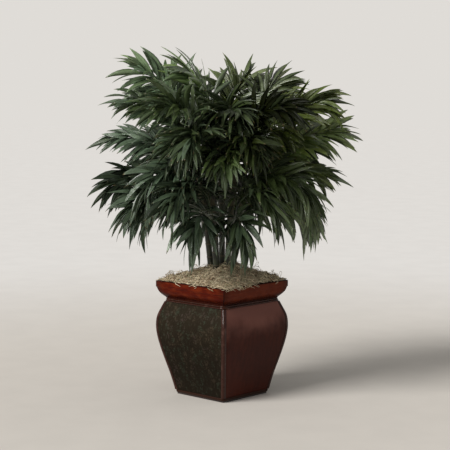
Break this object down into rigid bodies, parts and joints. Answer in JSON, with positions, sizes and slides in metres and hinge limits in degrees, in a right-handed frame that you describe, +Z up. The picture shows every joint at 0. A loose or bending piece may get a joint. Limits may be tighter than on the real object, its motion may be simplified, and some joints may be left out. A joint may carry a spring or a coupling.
{
  "type": "potted bamboo palm",
  "caption": "Bamboo palm with slim canes and arching feather-shaped leaves, standing in a square lacquered planter with a moulded rim and a moss topping.",
  "frame": {"origin": "middle of the flat underside of the planter", "axes": "+Z up along the planter's upright axis; the textured panels face -Y and +Y, the smooth panels face +X and -X"},
  "size_m": [0.5829, 0.5936, 0.8178],
  "materials": {
    "rim_lacquer": "glossy orange-red lacquer, darker along the edges",
    "dark_trim": "dark red-brown satin lacquer",
    "burgundy_lacquer": "smooth burgundy satin lacquer",
    "mottled_panel": "rough mottled lacquer in dark green, brown and plum",
    "inner_wood": "bare composite wood",
    "growing_medium": null,
    "moss": "dry curled moss fibres, grey-tan",
    "cane": "dark olive-green cane with pale rings",
    "leaf": null
  },
  "bodies": {
    "root": {"base_plinth": "dark_trim", "base_trim": "burgundy_lacquer", "cane_1": "cane", "cane_2": "cane", "cane_3": "cane", "cane_4": "cane", "cane_5": "cane", "cane_6": "cane", "cane_7": "cane", "corner_bead_1": "dark_trim", "corner_bead_2": "dark_trim", "corner_bead_3": "dark_trim", "corner_bead_4": "dark_trim", "growing_medium": "growing_medium", "leaf_01": "leaf", "leaf_02": "leaf", "leaf_03": "leaf", "leaf_04": "leaf", "leaf_05": "leaf", "leaf_06": "leaf", "leaf_07": "leaf", "leaf_08": "leaf", "leaf_09": "leaf", "leaf_10": "leaf", "leaf_11": "leaf", "leaf_12": "leaf", "leaf_13": "leaf", "leaf_14": "leaf", "leaf_15": "leaf", "leaf_16": "leaf", "leaf_17": "leaf", "leaf_18": "leaf", "leaf_19": "leaf", "leaf_20": "leaf", "leaf_21": "leaf", "leaf_22": "leaf", "leaf_23": "leaf", "leaf_24": "leaf", "leaf_25": "leaf", "leaf_26": "leaf", "leaf_27": "leaf", "leaf_28": "leaf", "leaf_29": "leaf", "leaf_30": "leaf", "leaf_31": "leaf", "leaf_32": "leaf", "leaf_33": "leaf", "leaf_34": "leaf", "leaf_35": "leaf", "moss_topping": "moss", "neck_trim": "dark_trim", "panel_back_textured": "mottled_panel", "panel_front_textured": "mottled_panel", "panel_left_smooth": "burgundy_lacquer", "panel_right_smooth": "burgundy_lacquer", "planter_body": "inner_wood", "rim_rail_back": "rim_lacquer", "rim_rail_front": "rim_lacquer", "rim_rail_left": "rim_lacquer", "rim_rail_right": "rim_lacquer"}
  },
  "joints": []
}
